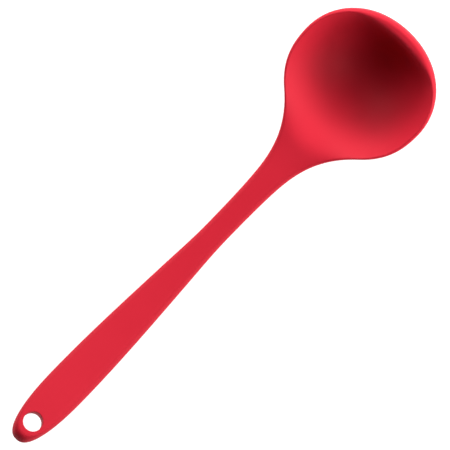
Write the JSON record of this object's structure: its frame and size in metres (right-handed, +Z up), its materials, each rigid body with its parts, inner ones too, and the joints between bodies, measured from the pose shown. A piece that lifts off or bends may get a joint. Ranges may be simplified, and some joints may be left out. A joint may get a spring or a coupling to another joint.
{
  "type": "soup ladle",
  "caption": "One-piece moulded silicone soup ladle: deep round bowl, slender neck and widening handle with a round hanging hole.",
  "frame": {"origin": "middle of the ladle's box, on the surface that it lies on with its bowl open upwards", "axes": "+X along the ladle from the handle's end to the bowl's tip, +Y to the left, +Z up out of the bowl"},
  "size_m": [0.3272, 0.0894, 0.0525],
  "materials": {
    "red_silicone": "matte",
    "glass_filled_nylon": "matte",
    "stainless_strip": "satin"
  },
  "bodies": {
    "root": {"silicone_skin": "red_silicone", "nylon_core": "glass_filled_nylon", "steel_spine": "stainless_strip"}
  },
  "joints": []
}
